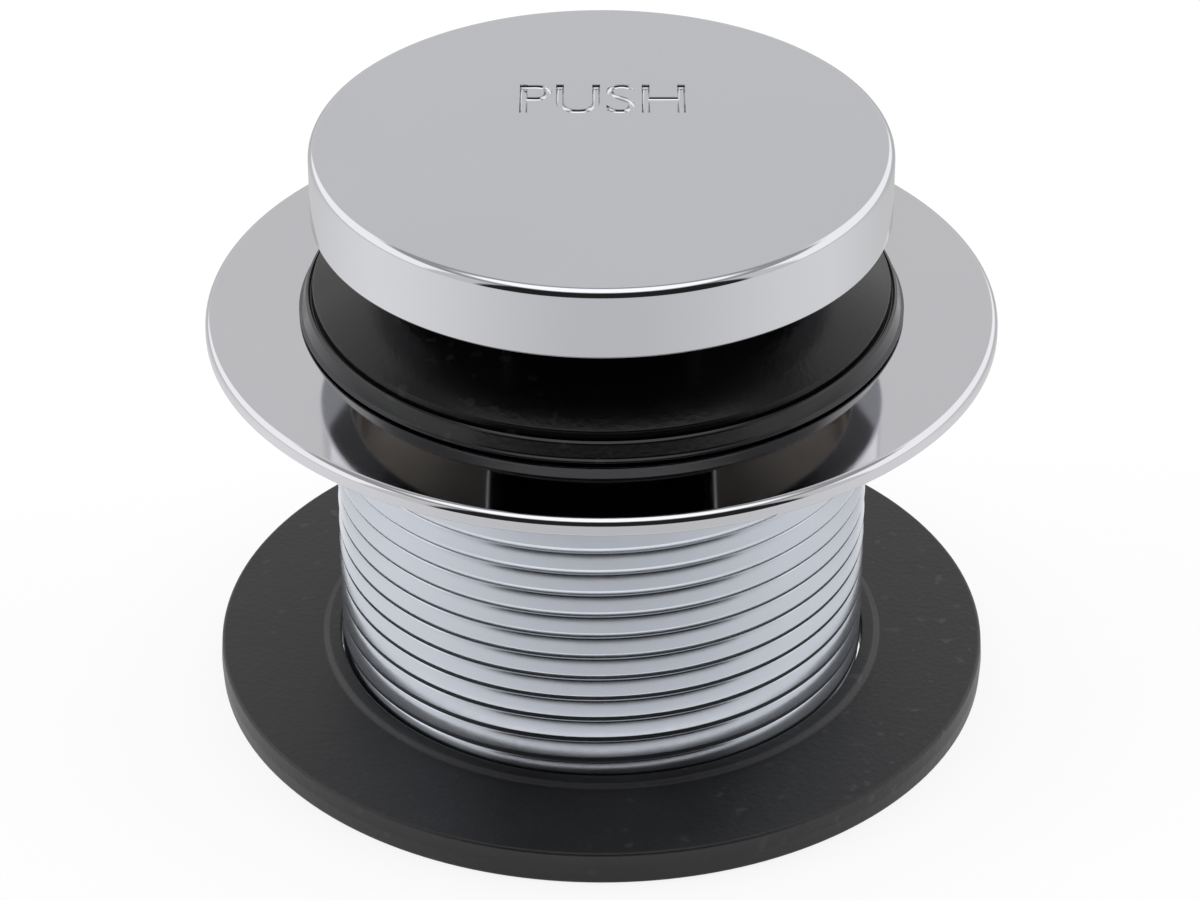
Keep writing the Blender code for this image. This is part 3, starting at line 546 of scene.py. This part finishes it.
for polygon in bellSeal.data.polygons:
    low = polygon.center.z < (seal["lipTop"] + seal["lipMargin"]) * mm
    outside = math.hypot(polygon.center.x, polygon.center.y) > seal["ridge"] * mm
    polygon.material_index = int(low and outside)
print("rubber ready")


# Cap: a shallow dome over a straight side, hollow below with a boss and two webs
cap = {"radius": 25.4, "low": 47.3, "high": 54.0, "flat": 14.0, "slope": 20.5,
       "slopeShare": 0.45, "edgeDrop": 0.25, "rounding": 0.8, "rimInner": 22.6,
       "cavityTop": 51.2, "bossRadius": 9.6, "hole": 5.06, "holeTop": 50.8, "margin": 0.05,
       "segments": 192}
capShell = turnedPiece("capShell", [
    (0.0, cap["high"]),
    (cap["flat"], cap["high"], 2.0),
    (cap["slope"], cap["high"] - cap["edgeDrop"] * cap["slopeShare"], 2.0),
    (cap["radius"], cap["high"] - cap["edgeDrop"], cap["rounding"]),
    (cap["radius"], cap["low"], 0.25),
    (cap["rimInner"], cap["low"], 0.15),
    (cap["rimInner"], cap["cavityTop"], 0.8),
    (cap["bossRadius"], cap["cavityTop"], 0.8),
    (cap["bossRadius"], cap["low"], 0.2),
    (cap["hole"], cap["low"], 0.2),
    (cap["hole"], cap["holeTop"]),
    (0.0, cap["holeTop"]),
], capChrome, "stopper", cap["segments"], closed=False, steps=6,
                       replaced=("stopper_cap",))
ribs = {"count": 2, "firstAngle": 90, "width": 1.0, "height": 3.7, "middle": 49.45,
        "rounding": 0.4, "start": -20.8, "end": 20.8, "aside": 9.6}
spokes("capRibs", ribs, capChrome, "stopper")

# Letters cut into the flat middle of the cap, with sloping walls
letters = {"text": "PUSH", "size": 6.5, "tall": 1.15, "across": 0.1, "back": 7.2, "wall": 0.3,
           "wallSteps": 3, "edge": 0.02, "thin": -0.28, "spacing": 0.98}
curve = bpy.data.curves.new("letters", 'FONT')
curve.body = letters["text"]
curve.size = letters["size"] * mm
curve.align_x = 'CENTER'
curve.align_y = 'CENTER'
curve.space_character = letters["spacing"]
curve.offset = letters["thin"] * mm
curve.bevel_depth = letters["wall"] * mm
curve.bevel_resolution = letters["wallSteps"]
curve.extrude = letters["edge"] * mm
writing = newObject("letters", curve)
graph = bpy.context.evaluated_depsgraph_get()
bm = bmesh.new()
bm.from_mesh(writing.evaluated_get(graph).to_mesh())
bpy.data.objects.remove(writing)
bmesh.ops.remove_doubles(bm, verts=bm.verts, dist=closeness["letters"] * mm)
bmesh.ops.recalc_face_normals(bm, faces=bm.faces)
bmesh.ops.scale(bm, verts=bm.verts, vec=(1, letters["tall"], 1))
bmesh.ops.translate(bm, verts=bm.verts,
                    vec=(letters["across"] * mm, letters["back"] * mm, cap["high"] * mm))
cutPiece(capShell, bm, "letterCutter")
capShell.data.materials.append(capInside)
for polygon in capShell.data.polygons:
    distance = math.hypot(polygon.center.x, polygon.center.y)
    inside = distance < (cap["rimInner"] + cap["margin"]) * mm
    below = polygon.center.z < (cap["cavityTop"] + cap["margin"]) * mm
    polygon.material_index = int(inside and below)
print("cap ready")


# Cartridge: the housing's tube and foot, its stud thread, and the spanner flats
housing = {"pin": 1.7, "pinTop": 21.0, "floor": 15.5, "bore": 8.3, "radius": 9.525, "top": 37.6,
           "base": 13.1, "studCore": 3.95, "studCrest": 4.74, "studTaper": 1.2, "studEnd": 1.5,
           "segments": 96}
housingTube = turnedPiece("housingTube", [
    (0.0, housing["pinTop"]),
    (housing["pin"], housing["pinTop"], 0.4),
    (housing["pin"], housing["floor"]),
    (housing["bore"], housing["floor"], 0.3),
    (housing["bore"], housing["top"], 0.15),
    (housing["radius"], housing["top"], 0.3),
    (housing["radius"], housing["base"], 0.3),
    (housing["studCrest"], housing["base"], 0.2),
    (housing["studCore"], housing["base"] - housing["studTaper"], 0.3),
    (housing["studCore"], housing["studEnd"], 0.3),
    (0.0, housing["studEnd"]),
], innerBrass, "drain", housing["segments"], closed=False,
                          replaced=("cartridge_housing",))
flats = {"fromMiddle": 8.0, "top": 15.0, "below": 1, "deep": 4, "long": 24}
bm = bmesh.new()
for side in (-1, 1):
    made = bmesh.ops.create_cube(bm, size=1.0)["verts"]
    bmesh.ops.scale(bm, verts=made,
                    vec=(flats["deep"] * mm, flats["long"] * mm,
                         (flats["top"] - housing["base"] + flats["below"]) * mm))
    middle = (flats["top"] + housing["base"] - flats["below"]) / 2
    bmesh.ops.translate(bm, verts=made,
                        vec=(side * (flats["fromMiddle"] + flats["deep"] / 2) * mm, 0,
                             middle * mm))
cutPiece(housingTube, bm, "flatsCutter")
studForm = {"pitch": 1.5875, "crest": housing["studCrest"], "root": housing["studCore"] + 0.02,
            "grooveTop": 1.4, "grooveFloor": 0.2, "segments": 48, "start": 0.5, "foot": 1.7,
            "top": 12.2, "runOut": 0.8, "chamfer": 0.5, "rounding": 0.03, "shoulder": 0.03,
            "lean": 0.0, "heel": 0.08, "heelDepth": 0.0, "wall": 0.4}
screwThread("studThread", studForm, innerBrass, "drain")

# Solids whose shape is right keep it, and get a finer surface
nodeLooks = {
    "lock_washer": plainSteel, "lock_nut": nutBrass, "cam_sleeve": paleAcetal,
    "guide_bushing": blackAcetal, "bushing_o_ring": ringRubber, "wiper_ring": ringRubber,
    "return_spring": darkSteel, "plunger": innerBrass, "latch_rotor": blackAcetal,
    "thrust_washer": paleAcetal, "retaining_clip": darkSteel, "clamp_nut": nutBrass,
    "seal_washer": plainSteel, "floor_bumper": ringRubber, "spring_seat": plainSteel,
}
for nodeName, look in nodeLooks.items():
    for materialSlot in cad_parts[nodeName].material_slots:
        materialSlot.material = look
print("cartridge ready")


# Camera
view = {"place": (0.0, -0.36150, 0.25340), "tilt": 0.569, "lens": 143.04, "sensor": 36.0,
        "shift": -0.00125, "nearest": 0.01}
cameraData = bpy.data.cameras.new("camera")
cameraData.lens = view["lens"]
cameraData.sensor_width = view["sensor"]
cameraData.shift_x = view["shift"]
cameraData.clip_start = view["nearest"]
camera = newObject("camera", cameraData)
camera.location = view["place"]
camera.rotation_euler = (math.pi / 2 - view["tilt"], 0, 0)
bpy.context.scene.camera = camera

# Studio: a pale tent with a dark gap in front, pale walls at the sides and a light overhead.
# An azimuth runs from the camera's side of the object, and angles are in degrees
studio = {"levels": {"tent": 1.0, "front": 0.03, "overhead": 1.0, "side": 0.7, "high": -0.45},
          "degrees": {"turn": 4.5, "gapSide": 48, "gapLow": 3, "gapTop": 56, "soft": 5,
                      "overheadLow": 68, "overheadSoft": 8, "sideFrom": 75, "sideTo": 150,
                      "sideLow": 10, "sideTop": 46, "highLow": 52, "highTop": 64}}
levels = studio["levels"]
angles = {name: math.radians(size) for name, size in studio["degrees"].items()}
belowAll, aboveAll = -1.0, 2.0  # radians that no azimuth or height here reaches
world = bpy.data.worlds.new("studio")
bpy.context.scene.world = world
world.use_nodes = True
tree = world.node_tree
tree.nodes.clear()
direction = splitPlace(tree, placeOn(tree, "Generated"))
turned = calculate(tree, 'ARCTAN2', direction["X"],
                   calculate(tree, 'MULTIPLY', direction["Y"], -1.0))
azimuth = calculate(tree, 'ABSOLUTE', calculate(tree, 'SUBTRACT', turned, angles["turn"]))
height = calculate(tree, 'ARCSINE', direction["Z"])
soft = angles["soft"]
gap = calculate(tree, 'MULTIPLY', band(tree, azimuth, belowAll, angles["gapSide"], soft),
                band(tree, height, angles["gapLow"], angles["gapTop"], soft))
level = calculate(tree, 'MULTIPLY_ADD', gap, levels["front"] - levels["tent"], levels["tent"])
overhead = band(tree, height, angles["overheadLow"], aboveAll, angles["overheadSoft"])
level = calculate(tree, 'MULTIPLY_ADD', overhead, levels["overhead"], level)
walls = calculate(tree, 'MULTIPLY',
                  band(tree, azimuth, angles["sideFrom"], angles["sideTo"], soft),
                  band(tree, height, angles["sideLow"], angles["sideTop"], soft))
level = calculate(tree, 'MULTIPLY_ADD', walls, levels["side"], level)
upper = calculate(tree, 'MULTIPLY', band(tree, height, angles["highLow"], angles["highTop"], soft),
                  calculate(tree, 'SUBTRACT', 1.0, gap))
level = calculate(tree, 'MULTIPLY_ADD', upper, levels["high"], level)
tent = tree.nodes.new('ShaderNodeBackground')
tree.links.new(level, tent.inputs["Strength"])
white = addNode(tree, 'ShaderNodeBackground', values={"Strength": 1.0})
path = tree.nodes.new('ShaderNodeLightPath').outputs
shown = mixed(tree, path["Is Camera Ray"], tent.outputs[0], white.outputs[0])
tree.links.new(shown, tree.nodes.new('ShaderNodeOutputWorld').inputs["Surface"])

# Floor: white to the camera, and in the chrome it glows with painted pools of light, brighter at
# the sides and dimmer behind
ground = {"size": 3.0, "colour": (0.9, 0.9, 0.9, 1), "roughness": 0.9, "specular": 0.0,
          "cameraShare": 0.85, "glossyShare": 0.9}
paintedPool = {"front": 0.735, "sides": 0.3, "rightMore": -0.035, "backLess": 0.26, "nearMore": 0.9,
        "nearLow": 0.043, "nearHigh": 0.049, "nearSoft": 0.005}
bm = bmesh.new()
bmesh.ops.create_grid(bm, x_segments=1, y_segments=1, size=ground["size"])
floor = newObject("floor", meshFrom(bm, "floor"))
floorPaint = bpy.data.materials.new("floorPaint")
floorPaint.use_nodes = True
tree = floorPaint.node_tree
shader = tree.nodes["Principled BSDF"]
shader.inputs["Base Color"].default_value = ground["colour"]
shader.inputs["Roughness"].default_value = ground["roughness"]
shader.inputs["Specular IOR Level"].default_value = ground["specular"]
place = placeOn(tree)
sideways = addNode(tree, 'ShaderNodeVectorMath', {"operation": 'NORMALIZE'})
tree.links.new(place, sideways.inputs[0])
parts = splitPlace(tree, sideways.outputs["Vector"])
across = parts["X"]
acrossSquare = calculate(tree, 'MULTIPLY', across, across)
behind = calculate(tree, 'MAXIMUM', parts["Y"], 0.0)
paintedPools = calculate(tree, 'MULTIPLY_ADD', acrossSquare, paintedPool["sides"], paintedPool["front"])
paintedPools = calculate(tree, 'MULTIPLY_ADD', across, paintedPool["rightMore"], paintedPools)
paintedPools = calculate(tree, 'MULTIPLY_ADD', behind, -paintedPool["backLess"], paintedPools)
distance = addNode(tree, 'ShaderNodeVectorMath', {"operation": 'LENGTH'})
tree.links.new(place, distance.inputs[0])
# A painted bright ring of light on the floor close round the washer, fading towards the sides
near = band(tree, distance.outputs["Value"], paintedPool["nearLow"], paintedPool["nearHigh"],
            paintedPool["nearSoft"])
near = calculate(tree, 'MULTIPLY', near, paintedPool["nearMore"])
frontShare = calculate(tree, 'SUBTRACT', 1.0, acrossSquare)
paintedPools = calculate(tree, 'MULTIPLY_ADD', near, frontShare, paintedPools)
path = tree.nodes.new('ShaderNodeLightPath').outputs
glow = addNode(tree, 'ShaderNodeEmission', values={"Strength": 1.0})
paintedPoolGlow = tree.nodes.new('ShaderNodeEmission')
tree.links.new(paintedPools, paintedPoolGlow.inputs["Strength"])
seen = mixed(tree, calculate(tree, 'MULTIPLY', path["Is Camera Ray"], ground["cameraShare"]),
             shader.outputs[0], glow.outputs[0])
mirrored = calculate(tree, 'MULTIPLY', path["Is Glossy Ray"], ground["glossyShare"])
tree.links.new(mixed(tree, mirrored, seen, paintedPoolGlow.outputs[0]),
               tree.nodes["Material Output"].inputs["Surface"])
floor.data.materials.append(floorPaint)

# Soft square lamps that don't show in the chrome: place, size and power
lampTarget = Vector((0, 0, 0.03))
lamps = {"leftBox": ((-0.6, -0.1, 0.45), 0.5, 1.0), "rightBox": ((0.6, 0.0, 0.5), 0.5, 1.0),
         "topBox": ((0.0, 0.25, 0.8), 0.6, 1.2)}
for lampName, (lampPlace, size, power) in lamps.items():
    data = bpy.data.lights.new(lampName, 'AREA')
    data.shape = 'RECTANGLE'
    data.size = size
    data.size_y = size
    data.energy = power
    lamp = newObject(lampName, data)
    lamp.location = lampPlace
    lamp.rotation_euler = (lampTarget - Vector(lampPlace)).to_track_quat('-Z', 'Y').to_euler()
    lamp.visible_glossy = False

bpy.context.scene.view_settings.view_transform = 'Standard'
print("studio ready")
